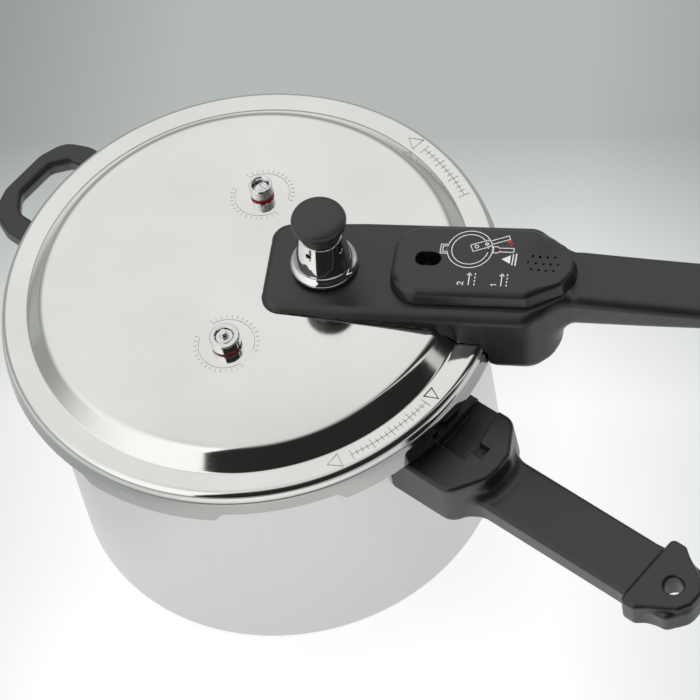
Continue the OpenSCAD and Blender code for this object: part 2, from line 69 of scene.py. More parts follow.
RIM_Z = top("pot_body").z
POT_R = 115
LUG_R = POT_R + 9.5
POT_INNER = POT_R - 3
BEAD_R = POT_R + 4
SKIRT_R = top("lid_shell").x
TAB_Z = bottom("lid_shell").z
DOME_TOP = top("lid_shell").z
DOME_R = 800          # radius of the sphere that the lid's disc is part of
DISC_R = 105
BEVEL_R = 115
BEVEL_LEAN = 43       # degrees from level
FLANGE_Z = 159
SKIRT_Z = 145
SHEET = 2.8
SHOULDER_R = 128.7
SHOULDER_ROUND = 4.2
LIP_R = 120.5
LUGS = 6
PLATE_TOP = 178.4
HANDLE_END = top("pot_handle").x
POT_GRIP_Z = bottom("pot_handle").z
POT_HEAD_TOP = top("pot_handle").z
HELPER_TOP = top("helper_handle").z
HELPER_T = HELPER_TOP - bottom("helper_handle").z

lock_axis = JOINTS["lock_slide"]["axis"]
LID_AZ = math.degrees(math.atan2(lock_axis[1], lock_axis[0]))
TAB_SHIFT = 15        # from the lid's handle to the middle of its first tab


def turn(degrees, axis="Z"):
    return Matrix.Rotation(math.radians(degrees), 4, axis)


def shift(x, y, z):
    return Matrix.Translation((x, y, z))


ON_LID = turn(LID_AZ)


def on_dome(r, az):
    """The frame of a fitting that stands square on the lid, r from the axis and az from its handle."""
    lean = math.degrees(math.asin(r / DOME_R))
    return ON_LID @ turn(az) @ shift(0, 0, DOME_TOP - DOME_R) @ turn(lean, "Y") @ shift(0, 0, DOME_R)


VENT_R = 42
AT_VENT = on_dome(VENT_R, 0)
AT_SAFETY = on_dome(47.5, 87.6)
AT_RELEASE = on_dome(47, -92)


def dome_z(r, lower=0.0):
    """Height of the lid's disc at r, or of the same sphere made smaller by lower."""
    return DOME_TOP - DOME_R + np.sqrt((DOME_R - lower) ** 2 - np.asarray(r, float) ** 2)


# ---- Camera ----

def put(name, data):
    made = bpy.data.objects.new(name, data)
    bpy.context.scene.collection.objects.link(made)
    return made


def make_camera():
    azimuth, elevation, roll = (math.radians(a) for a in (-39.83, 53.58, -12.54))
    aim = Vector((0.0692, -0.0013, 0.159))
    distance = 1.803
    back = Vector((math.cos(elevation) * math.cos(azimuth), math.cos(elevation) * math.sin(azimuth),
                   math.sin(elevation)))
    level = Vector((-math.sin(azimuth), math.cos(azimuth), 0))
    right = math.cos(roll) * level + math.sin(roll) * back.cross(level)
    camera = put("camera", bpy.data.cameras.new("camera"))
    axes = Matrix((right, back.cross(right), back)).transposed().to_4x4()
    camera.matrix_world = Matrix.Translation(aim + distance * back) @ axes
    camera.data.sensor_width = 36
    camera.data.lens = 185.1
    camera.data.clip_start = 0.1
    camera.data.clip_end = 30
    bpy.context.scene.camera = camera


make_camera()

# ---- Meshes ----

def mesh_object(name, points, faces, place=Matrix(), normals=None):
    """A smooth mesh of points in millimetres, put in place and scaled to metres."""
    move = np.array(place)
    points = np.asarray(points, float) @ move[:3, :3].T + move[:3, 3]
    mesh = bpy.data.meshes.new(name)
    mesh.from_pydata((points * MM).tolist(), [], [list(f) for f in faces])
    mesh.update()
    mesh.shade_smooth()
    if normals is None:
        normals = area_normals(mesh)
    else:
        normals = normals @ move[:3, :3].T
    mesh.normals_split_custom_set_from_vertices(normals.tolist())
    return put(name, mesh)


def area_normals(mesh):
    """Vertex normals in which large faces count for more, so that flats stay flat beside a round edge."""
    total = np.zeros((len(mesh.vertices), 3))
    for face in mesh.polygons:
        total[list(face.vertices)] += np.array(face.normal) * face.area
    length = np.linalg.norm(total, axis=1, keepdims=True)
    return total / np.where(length > 0, length, 1)


def arc(cx, cy, radius, start, end, steps=8):
    angles = np.radians(np.linspace(start, end, steps + 1))
    return [(cx + radius * math.cos(a), cy + radius * math.sin(a)) for a in angles]


def rounded(corners, closed=True, step=10):
    """An outline whose corners (x, y, radius) are rounded, with a point about every step degrees."""
    outline = []
    count = len(corners)
    for i, (x, y, radius) in enumerate(corners):
        if radius == 0 or (not closed and i in (0, count - 1)):
            outline.append((x, y))
            continue
        here = Vector((x, y))
        before = Vector(corners[i - 1][:2]) - here
        after = Vector(corners[(i + 1) % count][:2]) - here
        half = before.angle(after) / 2
        reach = min(radius / math.tan(half), 0.49 * before.length, 0.49 * after.length)
        radius = reach * math.tan(half)
        middle = here + (before.normalized() + after.normalized()).normalized() * radius / math.sin(half)
        a = here + before.normalized() * reach - middle
        b = here + after.normalized() * reach - middle
        sweep = a.angle_signed(b)
        steps = max(3, math.ceil(math.degrees(abs(sweep)) / step))
        for k in range(steps + 1):
            c, s = math.cos(-sweep * k / steps), math.sin(-sweep * k / steps)
            outline.append((middle.x + c * a.x - s * a.y, middle.y + s * a.x + c * a.y))
    return outline


def lathe(name, outline, place=Matrix(), turns=160, shape=None):
    """Turns an outline of (r, z) points about Z. It starts and ends on the axis, or it is closed.
    shape(outline, angle) gives the outline at each angle where it changes."""
    outline = np.array(outline, float)
    angles = np.arange(turns) * 2 * math.pi / turns
    rows = np.array([shape(outline, a) if shape else outline for a in angles])
    ring = not outline[0, 0] == outline[-1, 0] == 0
    points = np.stack([rows[..., 0] * np.cos(angles)[:, None], rows[..., 0] * np.sin(angles)[:, None],
                       rows[..., 1]], -1)
    count = len(outline)
    index = np.arange(turns * count).reshape(turns, count)
    for i in np.nonzero(outline[:, 0] == 0)[0]:
        index[:, i] = index[0, i]
    faces = []
    for j in range(turns):
        k = (j + 1) % turns
        for i in range(count if ring else count - 1):
            n = (i + 1) % count
            quad = [index[j, i], index[k, i], index[k, n], index[j, n]]
            face = list(dict.fromkeys(int(q) for q in quad))
            if len(face) > 2:
                faces.append(face)
    area = np.sum(outline[:, 0] * np.roll(outline[:, 1], -1) - np.roll(outline[:, 0], -1) * outline[:, 1])
    if area < 0:
        faces = [f[::-1] for f in faces]
    used, flat = np.unique(np.concatenate(faces), return_inverse=True)
    ends = np.cumsum([len(f) for f in faces])[:-1]
    faces = [f.tolist() for f in np.split(flat, ends)]
    return mesh_object(name, points.reshape(-1, 3)[used], faces, place)


def tube_along(name, route, radius, place=Matrix(), sides=10):
    """A round wire along a route, with closed ends."""
    route = np.array(route, float)
    along = np.gradient(route, axis=0)
    along /= np.linalg.norm(along, axis=1, keepdims=True)
    points, faces = [], []
    side = np.cross(along[0], (0.3, 0.5, 0.8))
    for p, t in zip(route, along):
        side = side - t * (side @ t)
        side /= np.linalg.norm(side)
        other = np.cross(t, side)
        for k in range(sides):
            a = 2 * math.pi * k / sides
            points.append(p + radius * (math.cos(a) * side + math.sin(a) * other))
    for i in range(len(route) - 1):
        for k in range(sides):
            n = (k + 1) % sides
            faces.append([i * sides + k, i * sides + n, (i + 1) * sides + n, (i + 1) * sides + k])
    faces.append(list(range(sides))[::-1])
    faces.append([(len(route) - 1) * sides + k for k in range(sides)])
    return mesh_object(name, points, faces, place)


def ribbon(strokes, width, height_at, thick=0.07):
    """Points and faces of flat painted strokes, each a list of (x, y) points, laid on a surface."""
    points, faces = [], []
    for stroke in strokes:
        line = np.array(stroke, float)
        closed = np.allclose(line[0], line[-1])
        if closed:
            line = line[:-1]
        ahead = np.roll(line, -1, 0) - line
        behind = line - np.roll(line, 1, 0)
        if not closed:
            ahead[-1], behind[0] = behind[-1], ahead[0]
        ahead /= np.linalg.norm(ahead, axis=1, keepdims=True)
        behind /= np.linalg.norm(behind, axis=1, keepdims=True)
        across = np.stack([-(ahead + behind)[:, 1], (ahead + behind)[:, 0]], 1)
        across /= np.maximum(np.sum(across ** 2, 1, keepdims=True) / 2, 0.5)
        sides = [line + across * width / 2, line - across * width / 2]
        start = len(points)
        for left, right in zip(*sides):
            for x, y, up in ((*left, 0), (*right, 0), (*right, thick), (*left, thick)):
                points.append((x, y, height_at(x, y) + up))
        count = len(line)
        for i in range(count if closed else count - 1):
            a, b = start + 4 * i, start + 4 * ((i + 1) % count)
            faces += [[a + k, b + k, b + (k + 1) % 4, a + (k + 1) % 4] for k in range(4)]
        if not closed:
            last = start + 4 * (count - 1)
            faces += [[start, start + 1, start + 2, start + 3], [last + 3, last + 2, last + 1, last]]
    return points, faces


def painted(name, strokes, width, height_at, place=Matrix()):
    points, faces = ribbon(strokes, width, height_at)
    return mesh_object(name, points, faces, place)


# Solids described by a distance: negative inside, positive outside, in millimetres

def union(a, b, r=0.0):
    """Both solids, with a fillet of radius r in the corner between them."""
    if r == 0:
        return np.minimum(a, b)
    return np.maximum(r, np.minimum(a, b)) - np.hypot(np.maximum(r - a, 0), np.maximum(r - b, 0))


def common(a, b, r=0.0):
    """What both solids share, with the new edge rounded to radius r."""
    if r == 0:
        return np.maximum(a, b)
    return np.minimum(-r, np.maximum(a, b)) + np.hypot(np.maximum(r + a, 0), np.maximum(r + b, 0))


def cut(a, b, r=0.0):
    return common(a, -b, r)


def block(x, y, z, x0, x1, y0, y1, z0, z1):
    dx = np.abs(x - (x0 + x1) / 2) - (x1 - x0) / 2
    dy = np.abs(y - (y0 + y1) / 2) - (y1 - y0) / 2
    dz = np.abs(z - (z0 + z1) / 2) - (z1 - z0) / 2
    outside = np.sqrt(np.maximum(dx, 0) ** 2 + np.maximum(dy, 0) ** 2 + np.maximum(dz, 0) ** 2)
    return outside + np.minimum(np.maximum(np.maximum(dx, dy), dz), 0)


def outline_distance(x, y, points, grow=0.0):
    """Distance from (x, y) to a closed outline. Growing it rounds its corners."""
    nearest = np.full(np.broadcast(x, y).shape, 1e9)
    inside = np.zeros(nearest.shape, bool)
    for (x0, y0), (x1, y1) in zip(points, points[1:] + points[:1]):
        ex, ey = x1 - x0, y1 - y0
        along = np.clip(((x - x0) * ex + (y - y0) * ey) / (ex * ex + ey * ey), 0, 1)
        nearest = np.minimum(nearest, (x - x0 - ex * along) ** 2 + (y - y0 - ey * along) ** 2)
        if ey:
            inside ^= ((y0 > y) != (y1 > y)) & (x < x0 + (y - y0) * ex / ey)
    return np.where(inside, -1, 1) * np.sqrt(nearest) - grow


def skin(name, field, lo, hi, step, place=Matrix()):
    """The surface of a solid given by its distance, as an even mesh of quads."""
    axes = [np.arange(a - 2 * step, b + 2.5 * step, step) for a, b in zip(lo, hi)]
    shape = tuple(len(a) for a in axes)
    full = np.broadcast_to(field(*np.meshgrid(*axes, indexing="ij", sparse=True)), shape)
    inside = full < 0
    quads, crossings = [], []
    for axis in range(3):
        first = tuple(slice(0, -1) if k == axis else slice(None) for k in range(3))
        second = tuple(slice(1, None) if k == axis else slice(None) for k in range(3))
        at = np.argwhere(inside[first] != inside[second])
        near, far = full[first][tuple(at.T)], full[second][tuple(at.T)]
        point = at.astype(float)
        point[:, axis] += near / (near - far)
        ring = []
        for du, dv in ((0, 0), (1, 0), (1, 1), (0, 1)):
            cell = at.copy()
            cell[:, (axis + 1) % 3] -= du
            cell[:, (axis + 2) % 3] -= dv
            ring.append(np.ravel_multi_index(cell.T, shape))
        ring = np.array(ring).T
        ring[near >= 0] = ring[near >= 0][:, ::-1]
        quads.append(ring)
        crossings.append(np.repeat(point, 4, axis=0))
    quads, crossings = np.concatenate(quads), np.concatenate(crossings)
    _, faces = np.unique(quads.ravel(), return_inverse=True)
    share = np.bincount(faces)
    points = np.stack([np.bincount(faces, crossings[:, k]) / share for k in range(3)], 1)
    points = points * step + [a[0] for a in axes]
    faces = faces.reshape(-1, 4)
    for spread in (0.5, 0.5, 0, 0):
        if spread:
            ahead, behind = points[np.roll(faces, -1, 1).ravel()], points[np.roll(faces, 1, 1).ravel()]
            around = (ahead + behind) / 2
            mean = np.stack([np.bincount(faces.ravel(), around[:, k]) for k in range(3)], 1) / share[:, None]
            points = points + spread * (mean - points)
        slope = gradient(field, points)
        size = np.sum(slope ** 2, 1)
        move = np.clip(field(*points.T) / np.maximum(size, 0.05), -step / 2, step / 2)
        points = points - slope * move[:, None]
    slope = gradient(field, points)
    normals = slope / np.maximum(np.linalg.norm(slope, axis=1, keepdims=True), 1e-9)
    return mesh_object(name, points, faces.tolist(), place, normals)


def gradient(field, points, reach=0.02):
    x, y, z = points.T
    return np.stack([field(x + reach, y, z) - field(x - reach, y, z),
                     field(x, y + reach, z) - field(x, y - reach, z),
                     field(x, y, z + reach) - field(x, y, z - reach)], 1) / (2 * reach)


# ---- Materials ----

class Nodes:
    """A node tree, and short ways to add nodes to it."""

    def __init__(self, tree, coordinates):
        self.tree = tree
        self.where = self.node("ShaderNodeTexCoord").outputs[coordinates]

    def node(self, kind, **settings):
        made = self.tree.nodes.new(kind)
        for key, value in settings.items():
            setattr(made, key, value)
        return made

    def feed(self, socket, value):
        """Links a node's output to the socket, or sets the socket to a number or colour."""
        if isinstance(value, bpy.types.NodeSocket):
            self.tree.links.new(value, socket)
        elif value is not None:
            socket.default_value = value

    def split(self):
        """X, Y and Z of the coordinates."""
        made = self.node("ShaderNodeSeparateXYZ")
        self.feed(made.inputs[0], self.where)
        return made.outputs

    def maths(self, operation, a, b=None):
        made = self.node("ShaderNodeMath", operation=operation)
        self.feed(made.inputs[0], a)
        self.feed(made.inputs[1], b)
        return made.outputs[0]

    def times(self, a, b):
        return self.maths("MULTIPLY", a, b)

    def total(self, a, by_a, b, by_b):
        """The sum of a times by_a and b times by_b."""
        return self.maths("ADD", self.times(a, by_a), self.times(b, by_b))

    def ramp(self, value, start, end, low=0.0, high=1.0, shape="SMOOTHSTEP"):
        """Runs from low to high while the value runs from start to end."""
        made = self.node("ShaderNodeMapRange", interpolation_type=shape)
        for socket, given in zip(made.inputs, (value, start, end, low, high)):
            self.feed(socket, given)
        return made.outputs[0]

    def mix(self, amount, a, b, kind="RGBA", blend="MIX"):
        made = self.node("ShaderNodeMix", data_type=kind, blend_type=blend)
        first, out = {"RGBA": (6, 2), "FLOAT": (2, 0)}[kind]
        for k, value in ((0, amount), (first, a), (first + 1, b)):
            self.feed(made.inputs[k], value)
        return made.outputs[out]


class Shader(Nodes):
    """A Principled material, and what makes its surface vary."""

    def __init__(self, name, colour, roughness, metallic=0.0, **constants):
        self.material = bpy.data.materials.new(name)
        self.material.use_nodes = True
        super().__init__(self.material.node_tree, "Object")
        self.principled = self.tree.nodes["Principled BSDF"]
        self.colour = colour
        self.give(Base_Color=(*colour, 1), Roughness=roughness, Metallic=metallic, **constants)

    def give(self, **inputs):
        """Feeds inputs of the Principled node, whose names are written with _ for a space."""
        for key, value in inputs.items():
            self.feed(self.principled.inputs[key.replace("_", " ")], value)

    def polar(self, per_radius, per_turn, per_height):
        """Coordinates that run out from the Z axis, round it and up it."""
        x, y, z = self.split()
        radius = self.maths("SQRT", self.total(x, x, y, y))
        angle = self.maths("ARCTAN2", y, x)
        join = self.node("ShaderNodeCombineXYZ")
        for socket, value, per in zip(join.inputs, (radius, angle, z), (per_radius, per_turn, per_height)):
            self.feed(socket, self.times(value, per))
        return join.outputs[0]

    def noise(self, vector, detail=3):
        made = self.node("ShaderNodeTexNoise")
        made.inputs["Scale"].default_value = 1
        made.inputs["Detail"].default_value = detail
        self.feed(made.inputs["Vector"], vector)
        return made.outputs["Fac"]

    def grain(self, scale, detail=3):
        """Noise that is the same in every direction."""
        mapping = self.node("ShaderNodeMapping")
        mapping.inputs["Scale"].default_value = (scale, scale, scale)
        self.feed(mapping.inputs["Vector"], self.where)
        return self.noise(mapping.outputs[0], detail)

    def spread(self, value, low, high, start=0.35, end=0.65):
        """Maps a noise, or what runs from start to end, onto low to high."""
        return self.ramp(value, start, end, low, high, "LINEAR")

    def vary_colour(self, value, low, high):
        """Base colour that varies from low to high times the material's colour."""
        ends = [(*(min(1, c * times) for c in self.colour), 1) for times in (low, high)]
        self.give(Base_Color=self.mix(value, *ends))

    def vary_roughness(self, value, low, high):
        self.give(Roughness=self.spread(value, low, high))

    def bump(self, *layers):
        """Raises the surface by each (noise, height in millimetres) in turn."""
        normal = None
        for value, height in layers:
            made = self.node("ShaderNodeBump")
            made.inputs["Distance"].default_value = height * MM
            self.feed(made.inputs["Height"], value)
            if normal is not None:
                self.feed(made.inputs["Normal"], normal)
            normal = made.outputs[0]
        self.give(Normal=normal)


def polished_aluminium():
    m = Shader("polished_aluminium", (0.90, 0.90, 0.875), 0.09, 1.0)
    rings = m.noise(m.polar(2600, 3, 2600), 4)
    # Painted shade: the colour is darkened on the skirt below the flange, standing in for the shaded floor that
    # the skirt reflects
    upper = m.spread(m.split()[2], 0.44, 1.0, 0.1515, 0.1578)
    m.vary_colour(m.times(upper, m.spread(m.grain(14), 0.93, 1.0)), 0, 1.03)
    m.vary_roughness(rings, 0.065, 0.115)
    m.bump((rings, 0.0011), (m.grain(60, 2), 0.008))
    return m.material


def satin_aluminium():
    m = Shader("satin_aluminium", (0.60, 0.60, 0.59), 0.3, 1.0)
    streaks = m.noise(m.polar(60, 70, 3), 4)
    m.vary_colour(streaks, 0.96, 1.03)
    m.vary_roughness(streaks, 0.31, 0.34)
    m.bump((m.noise(m.polar(900, 900, 14)), 0.006))
    return m.material


def machined_aluminium():
    m = Shader("machined_aluminium", (0.78, 0.78, 0.77), 0.34, 1.0)
    rings = m.noise(m.polar(1800, 2, 300))
    m.vary_colour(m.grain(30), 0.9, 1.05)
    m.vary_roughness(rings, 0.26, 0.42)
    m.bump((rings, 0.012))
    return m.material


def phenolic(name, colour, low, high):
    m = Shader(name, colour, 0.34, 0.0, IOR=1.5, Specular_IOR_Level=0.8)
    fine = m.grain(1500, 2)
    cloud = m.grain(26, 4)
    m.vary_colour(cloud, 0.6, 1.45)
    m.vary_roughness(m.total(fine, 0.45, cloud, 0.55), low, high)
    m.bump((fine, 0.08), (cloud, 0.12))
    return m.material


def clouded(name, colour, roughness, metallic, scale, shades, finish, height, detail=3):
    """A material whose colour, roughness and surface all vary with one noise."""
    m = Shader(name, colour, roughness, metallic)
    cloud = m.grain(scale, detail)
    m.vary_colour(cloud, *shades)
    m.vary_roughness(cloud, *finish)
    m.bump((cloud, height))
    return m.material


def paint(name, colour, roughness=0.5):
    m = Shader(name, colour, roughness)
    fine = m.grain(1200, 2)
    m.vary_colour(fine, 0.88, 1.05)
    m.vary_roughness(fine, roughness - 0.08, roughness + 0.08)
    return m.material


POLISHED = polished_aluminium()
SATIN = satin_aluminium()
MACHINED = machined_aluminium()
PHENOLIC = phenolic("charcoal_phenolic", (0.0115, 0.0100, 0.0106), 0.27, 0.4)
CAP_PHENOLIC = phenolic("cap_phenolic", (0.018, 0.0165, 0.0172), 0.34, 0.46)
CHROME = clouded("chrome", (0.86, 0.86, 0.86), 0.05, 1.0, 180, (0.93, 1.02), (0.035, 0.08), 0.004)
STEEL = clouded("steel", (0.56, 0.57, 0.58), 0.3, 1.0, 500, (0.85, 1.1), (0.22, 0.4), 0.01)
RED = clouded("red_silicone", (0.30, 0.012, 0.012), 0.45, 0.0, 700, (0.8, 1.2), (0.38, 0.55), 0.02)
RUBBER = clouded("grey_rubber", (0.13, 0.13, 0.128), 0.62, 0.0, 220, (0.8, 1.2), (0.5, 0.72), 0.03, 4)
WHITE_PRINT = paint("white_print", (0.86, 0.86, 0.86))
RED_PRINT = paint("red_print", (0.62, 0.05, 0.03))
ETCHED = paint("etched_print", (0.40, 0.40, 0.39), 0.55)
DARK_PRINT = paint("dark_print", (0.02, 0.02, 0.02))

SLOT_FINISH = {
    "satin_aluminium": MACHINED,
    "polished_aluminium": POLISHED,
    "charcoal_phenolic": PHENOLIC,
    "chrome": CHROME,
    "steel": STEEL,
    "red_silicone": RED,
    "grey_rubber": RUBBER,
}


def finish_of_cad_nodes():
    """Every CAD node gets the material of its own slot."""
    slots = {row["node"]: row["material_slot"] for row in frame["record"]["subparts"]}
    for name, node in frame["nodes"].items():
        node.data.materials.clear()
        node.data.materials.append(SLOT_FINISH[slots[name]])


def add(piece, body, slot, material, *replaced):
    """Gives a piece its finish and its body, and hides the CAD nodes that it stands for."""
    piece.data.materials.append(material)
    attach(piece, body)
    if replaced:
        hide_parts(*replaced)
    return piece


# ---- Pot ----

def window(angle, middle, width, ramp):
    """1 inside the repeated windows of a bayonet, 0 outside, with soft ends. Angles in degrees."""
    pitch = 360 / LUGS
    off = abs((math.degrees(angle) - middle + pitch / 2) % pitch - pitch / 2)
    t = min(1, max(0, (width / 2 - off) / ramp + 0.5))
    return t * t * (3 - 2 * t)


def make_pot():
    lug_z, lug_t, lug_middle, lug_deg = RIM_Z - 5.5, 4, 17, 24
    floor_t = 4.5
    corners = [
        (0, 0.6, 0), (POT_R - 22, 0.6, 0.5), (POT_R - 21, 0, 0.5), (POT_R, 0, 6), (POT_R, lug_z - 5, 3),
        (BEAD_R - 1, lug_z - 0.6, 0.5), (BEAD_R, lug_z, 0.5), (BEAD_R, lug_z + lug_t, 0.6),
        (BEAD_R - 0.5, RIM_Z, 1.2), (POT_INNER, RIM_Z, 1), (POT_INNER, floor_t, 9), (0, floor_t, 0)]
    outline = rounded(corners, closed=False, step=8)

    def lugs(points, angle):
        t = window(angle, lug_middle, lug_deg, 1.2)
        points = points.copy()
        r, z = points.T
        out = (r > BEAD_R - 0.7) & (z > lug_z - 0.4) & (z < lug_z + lug_t + 0.1)
        points[out, 0] += t * (LUG_R - BEAD_R)
        return points

    pot = lathe("pot_body_shell", outline, turns=720, shape=lugs)
    add(pot, "pot", "satin_aluminium", SATIN, "pot_body")


# ---- Lid ----

def make_lid():
    tab_deg = 32.5
    wall = SKIRT_R - SHEET
    # A round edge joins the dome to the bevel, and a tight one the bevel to the flange
    edge_round = 9
    edge_at = DISC_R - 2
    lean = math.asin(edge_at / DOME_R)
    edge = arc(edge_at - edge_round * math.sin(lean), float(dome_z(edge_at)) - edge_round * math.cos(lean),
               edge_round, 90 - math.degrees(lean), 90 - BEVEL_LEAN, 16)
    foot_x = BEVEL_R + 0.3
    disc = [(r, float(dome_z(r))) for r in np.linspace(0, edge_at, 53)]
    outer = disc[:-1] + edge + [
        (foot_x - 1.0, FLANGE_Z + 0.75), (foot_x - 0.5, FLANGE_Z + 0.3), (foot_x, FLANGE_Z + 0.04),
        (foot_x + 0.6, FLANGE_Z - 0.08), (foot_x + 1.2, FLANGE_Z)]
    outer += [(r, FLANGE_Z + 0.12 * math.sin(math.pi * (r - 116.5) / 8)) for r in np.linspace(117, 124, 7)]
    shoulder = (SHOULDER_R - SHOULDER_ROUND, FLANGE_Z - SHOULDER_ROUND)
    outer += arc(*shoulder, SHOULDER_ROUND, 88, 4, 12)
    outer += [(SHOULDER_R + x, FLANGE_Z - z) for x, z in ((0.05, 5.4), (0.35, 5.9), (0.7, 6.4), (0.9, 7.4))]
    outer.append((SKIRT_R - 0.2, SKIRT_Z + 3))
    inner_disc = [(r, float(dome_z(r, SHEET))) for r in np.linspace(0, DISC_R - 2, 30)][::-1]
    inner = [(wall, SKIRT_Z + 4.5), (SHOULDER_R - SHEET + 0.2, FLANGE_Z - 6)]
    inner += arc(*shoulder, SHOULDER_ROUND - SHEET, 0, 90, 5)
    inner += [(BEVEL_R, FLANGE_Z - SHEET), (BEVEL_R - 1.4, FLANGE_Z - SHEET + 0.5)] + inner_disc
    # The lower edge: outer corner, foot, lip and the lip's upper face
    low = [(0, 1.2), (0, 0.8), (-0.25, 0.25), (-0.8, 0), (-1.4, 0)]
    first = len(outer)
    outline = outer + [(SKIRT_R + x, SKIRT_Z + z) for x, z in low] + [(wall, SKIRT_Z)] * 4 + inner

    def tabs(points, angle):
        t = window(angle, LID_AZ + TAB_SHIFT, tab_deg, 2.6)
        points = points.copy()
        foot = SKIRT_Z + t * (TAB_Z - SKIRT_Z)
        lip = wall - 0.5 - t * (wall - 0.5 - LIP_R)
        points[first:first + len(low), 1] += foot - SKIRT_Z
        height = 0.8 + 2.2 * t
        points[first + len(low):first + len(low) + 4] = [
            (lip + 0.5, foot), (lip, foot + 0.4), (lip, foot + height - 0.1), (wall, foot + height)]
        return points

    lid = lathe("lid_shell_polished", outline, turns=512, shape=tabs)
    add(lid, "lid", "polished_aluminium", POLISHED, "lid_shell")


def ring_height(x, y):
    return FLANGE_Z + 0.12


def disc_height(x, y):
    return float(dome_z(math.hypot(x, y))) + 0.02


def at_polar(r, az):
    return r * math.cos(math.radians(az)), r * math.sin(math.radians(az))


def make_lid_marks():
    """Generic marks in place of lettering: arrows and tick rows on the flange ring and round the valves."""
    ring = 121.0
    half = 4.0
    tip = math.degrees(3.4 * 2 / ring)

    def pointer(az, way):
        """A triangle that points along the ring."""
        corners = [(ring, az + way * tip), (ring + half, az), (ring - half, az), (ring, az + way * tip)]
        return [at_polar(*c) for c in corners]

    def ticks(start, end, count):
        rows = []
        for i in range(count):
            az = start + (end - start) * i / (count - 1)
            reach = 3.0 if i % 4 == 0 else 1.7
            rows.append([at_polar(ring - reach, az), at_polar(ring + reach, az)])
        return rows

    def track(start, end):
        return [at_polar(ring, az) for az in np.linspace(start, end, 24)]

    close_at, open_at = -27.0, 83.4
    strokes = [pointer(close_at, -1), pointer(open_at, 1)]
    strokes += ticks(-24, -2, 17) + ticks(81, 63, 13)
    strokes += [track(-24, -2), track(81, 63)]
    marks = painted("flange_ring_marks", strokes, 0.42, ring_height)
    add(marks, "lid", "polished_aluminium", ETCHED)
    outward = [(ring - 3.2, -0.9), (ring - 3.2, 2.1), (ring + 3.6, 0.6), (ring - 3.2, -0.9)]
    arrow = painted("closing_mark", [[at_polar(*c) for c in outward]], 0.55, ring_height)
    add(arrow, "lid", "polished_aluminium", DARK_PRINT)
    rings = []
    for place in (AT_SAFETY, AT_RELEASE):
        centre = place.translation
        for start, end, count in ((20, 160, 15), (200, 340, 15)):
            for az in np.linspace(start, end, count):
                a = math.radians(az)
                rings.append([(centre.x + r * math.cos(a), centre.y + r * math.sin(a)) for r in (15.2, 16.9)])
            rings.append(arc(centre.x, centre.y, 14.3, start, end, 29))
    rows = painted("valve_ring_marks", rings, 0.28, disc_height)
    add(rows, "lid", "polished_aluminium", ETCHED)


# ---- Lid handle and its slider ----

SLIDER_TOP = 187.0
SLIDER_IN, SLIDER_OUT = 77.8, 168.7
SLOT_AT = 97.4


def lid_surface(r, z):
    """Distance below the lid's outer face, roughly, for fitting the handle to it."""
    disc = z - (DOME_TOP - DOME_R + np.sqrt(DOME_R ** 2 - np.minimum(r, 300) ** 2))
    slope = math.radians(BEVEL_LEAN)
    bevel = (r - DISC_R - 1.6) * math.sin(slope) + (z - dome_z(DISC_R)) * math.cos(slope)
    flange = z - FLANGE_Z - 0.15
    shoulder = r - SHOULDER_R
    drum = common(flange, shoulder, SHOULDER_ROUND)
    skirt = common(z - FLANGE_Z + 6, r - SKIRT_R + 0.3)
    return union(union(common(disc, bevel, 4.5), drum), skirt)


def drafted(plan, draft, below):
    """An outline's distance, where its walls lean outwards by draft for each millimetre below."""
    return (plan - draft * below) / math.hypot(1, draft)


def grip_outline(x, side, start, half, waist, widest, edge):
    """A long handle's grip from above, which widens a little near its rounded end."""
    plan = [(start, -3), (start, half), (HANDLE_END - 36, waist), (HANDLE_END - 22, widest),
            (HANDLE_END - 10, 11.5), (HANDLE_END - edge, 5), (HANDLE_END - edge, -3)]
    return outline_distance(x, side, plan, edge)


def lid_handle_field(x, y, z):
    side = np.abs(y)
    plan = [(22, -5), (22, 17.5), (60, 19.2), (144, 19.6), (155, 10), (155, -5)]
    plate = drafted(outline_distance(x, side, plan, 11), 0.1, 172 - z)
    plate = common(plate, x - 162, 7)
    body = common(plate, common(z - PLATE_TOP, 140.8 - z, 5), 5.5)
    # The grip: level at first, then sloping down a little, with round edges
    beyond = np.maximum(x - 172, 0)
    top_z = PLATE_TOP - 0.6 - 0.118 * beyond + 0.0002 * beyond ** 2
    low_z = 156 + 0.016 * np.maximum(205 - x, 0)
    grip = common(grip_outline(x, side, 140, 10.5, 10.8, 12.6, 6), common(z - top_z, low_z - z), 5.2)
    whole = union(body, grip, 11)
    whole = common(whole, z - PLATE_TOP, 0)
    lid = lid_surface(np.hypot(x, y), z) - 0.25
    whole = cut(whole, lid, 0.8)
    # Openings for the vent, the indicator, the lock with its bolt, the cover and the screw heads
    vent = np.hypot(x - VENT_R, y) - 13.6
    whole = cut(whole, common(vent, 165 - z), 0.8)
    indicator = np.hypot(x - SLOT_AT - 2.6, y) - 5.5
    whole = cut(whole, indicator)
    whole = cut(whole, block(x, y, z, 107, 160, -6.4, 6.4, 172.5, 190))
    whole = cut(whole, block(x, y, z, 129, 142.4, -0.6, 5.6, 120, 190))
    whole = cut(whole, block(x, y, z, 142.9, 161.1, -22.3, 22.3, 130, 144.2))
    for px, py, low, radius in ((119.5, 12.5, 170, 5.2), (119.5, -12.5, 170, 5.2), (88, 0, 175.4, 5.0)):
        whole = cut(whole, common(np.hypot(x - px, y - py) - radius, low - z))
    return whole


def make_lid_handle():
    lo, hi = (10, -37, 139), (HANDLE_END, 37, PLATE_TOP)
    handle = skin("lid_handle_moulding", lid_handle_field, lo, hi, 0.9, ON_LID)
    add(handle, "lid", "charcoal_phenolic", PHENOLIC, "lid_handle")


